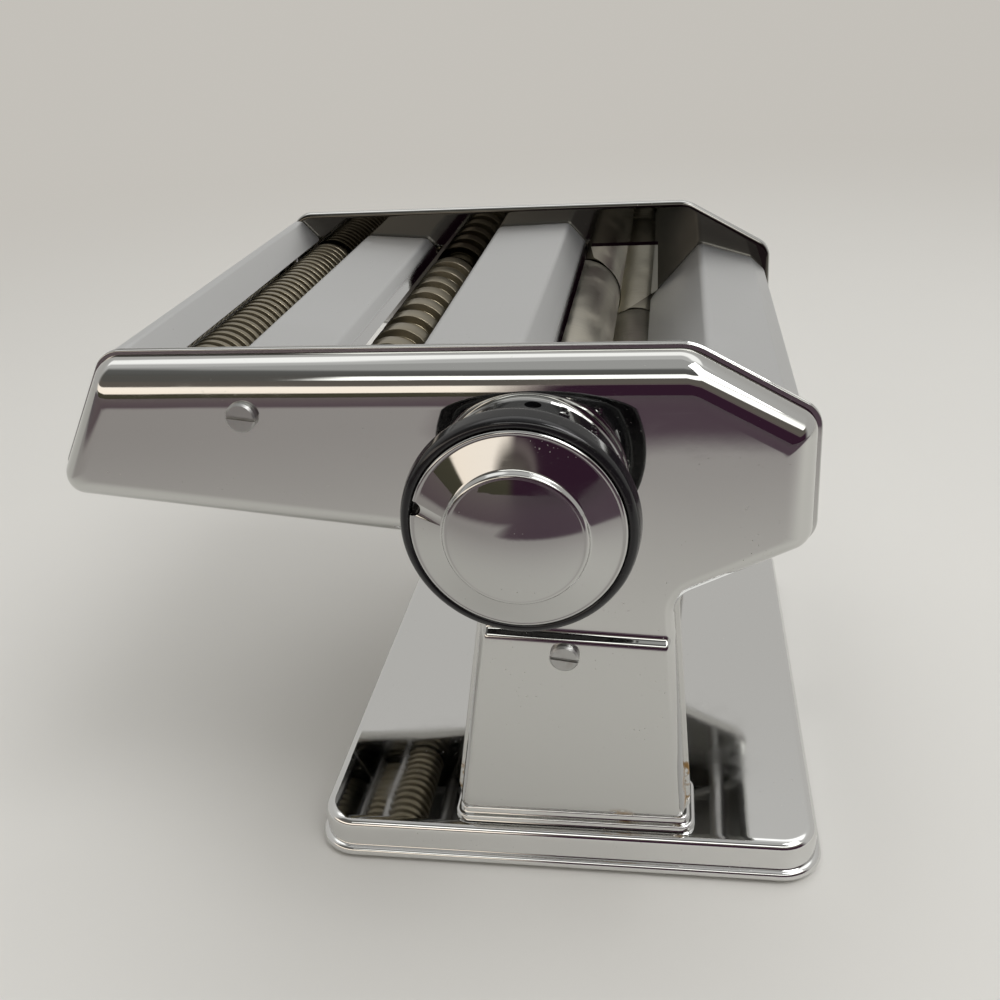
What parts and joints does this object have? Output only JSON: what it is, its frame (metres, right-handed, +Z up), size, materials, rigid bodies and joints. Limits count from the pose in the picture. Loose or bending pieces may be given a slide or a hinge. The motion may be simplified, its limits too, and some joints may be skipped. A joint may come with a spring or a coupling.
{
  "type": "pasta machine",
  "caption": "Hand-cranked pasta machine: chromed side covers on a pressed base, smooth rollers with a thickness knob, and a wide and a narrow cutter.",
  "frame": {"origin": "middle of the base's footprint, on the table under the rubber feet", "axes": "+X to the feed side, -X to the cutters' nose, -Y to the knob side, +Y to the crank side, +Z up"},
  "size_m": [0.1957, 0.209, 0.154],
  "materials": {
    "chrome": "mirror",
    "satin_nickel": "satin",
    "steel": "satin",
    "bronze": "satin",
    "black_plastic": "gloss",
    "rubber": "matte"
  },
  "bodies": {
    "frame": {"base_plate": "chrome", "rubber_feet": "rubber", "near_frame_plate": "chrome", "far_frame_plate": "chrome", "near_side_cover": "chrome", "far_side_cover": "chrome", "near_cover_screws": "chrome", "far_cover_screws": "chrome", "end_wall": "chrome", "cutter_bridge": "chrome", "roller_bridge": "chrome", "feed_panel": "chrome", "dough_guides": "chrome", "tie_rods": "steel", "sleeve_nuts": "steel", "roller_bushes": "bronze", "cutter_bushes": "bronze", "roller_scrapers": "steel", "wide_combs": "steel", "narrow_combs": "steel", "base_bolts": "steel", "base_nuts": "steel", "index_pin": "steel", "axle_bracket": "steel"},
    "driven_roller": {"driven_roller": "satin_nickel", "driven_gear": "steel"},
    "gap_carriage": {"eccentric_bushes": "bronze"},
    "adjustable_roller": {"adjustable_roller": "satin_nickel", "adjustable_gear": "steel"},
    "eccentric_axle": {"eccentric_axle": "steel", "axle_screw": "steel", "knob_spring": "steel"},
    "knob": {"knob_drum": "black_plastic", "knob_cap": "chrome", "knob_ring": "chrome"},
    "wide_drive": {"wide_drive_shaft": "steel", "wide_drive_cutter": "satin_nickel", "wide_drive_gear": "steel"},
    "wide_follow": {"wide_follow_cutter": "satin_nickel", "wide_follow_gear": "steel"},
    "narrow_drive": {"narrow_drive_shaft": "steel", "narrow_drive_cutter": "satin_nickel", "narrow_drive_gear": "steel"},
    "narrow_follow": {"narrow_follow_cutter": "satin_nickel", "narrow_follow_gear": "steel"}
  },
  "joints": [
    {"name": "roller_drive", "type": "hinge", "parent": "frame", "child": "driven_roller", "pos_m": [0.01653, 0, 0.10298], "axis": [0, 1, 0], "continuous": true},
    {"name": "knob_turn", "type": "hinge", "parent": "frame", "child": "eccentric_axle", "pos_m": [-0.0025, 0, 0.123], "axis": [0, 1, 0], "range_deg": [0, 120]},
    {"name": "lobe_bush_turn", "type": "hinge", "parent": "eccentric_axle", "child": "gap_carriage", "pos_m": [-0.00214, 0, 0.12165], "axis": [0, 1, 0], "range_deg": [-120, 0]},
    {"name": "roller_follow", "type": "hinge", "parent": "gap_carriage", "child": "adjustable_roller", "pos_m": [-0.00214, 0, 0.12165], "axis": [0, 1, 0], "continuous": true},
    {"name": "knob_pull", "type": "slide", "parent": "eccentric_axle", "child": "knob", "axis": [0, -1, 0], "range_m": [0, 0.005], "stiffness_N_per_m": 1000, "springref_m": -0.003, "deforming": ["knob_spring"]},
    {"name": "wide_drive_turn", "type": "hinge", "parent": "frame", "child": "wide_drive", "pos_m": [-0.03508, 0, 0.11999], "axis": [0, 1, 0], "continuous": true},
    {"name": "wide_follow_turn", "type": "hinge", "parent": "frame", "child": "wide_follow", "pos_m": [-0.0495, 0, 0.129], "axis": [0, 1, 0], "continuous": true},
    {"name": "narrow_drive_turn", "type": "hinge", "parent": "frame", "child": "narrow_drive", "pos_m": [-0.08242, 0, 0.1257], "axis": [0, 1, 0], "continuous": true},
    {"name": "narrow_follow_turn", "type": "hinge", "parent": "frame", "child": "narrow_follow", "pos_m": [-0.0965, 0, 0.1345], "axis": [0, 1, 0], "continuous": true}
  ],
  "couplings": [
    {"joint": "roller_follow", "follows": "roller_drive", "ratio": -1},
    {"joint": "lobe_bush_turn", "follows": "knob_turn", "ratio": -1},
    {"joint": "wide_follow_turn", "follows": "wide_drive_turn", "ratio": -1},
    {"joint": "narrow_follow_turn", "follows": "narrow_drive_turn", "ratio": -1}
  ]
}
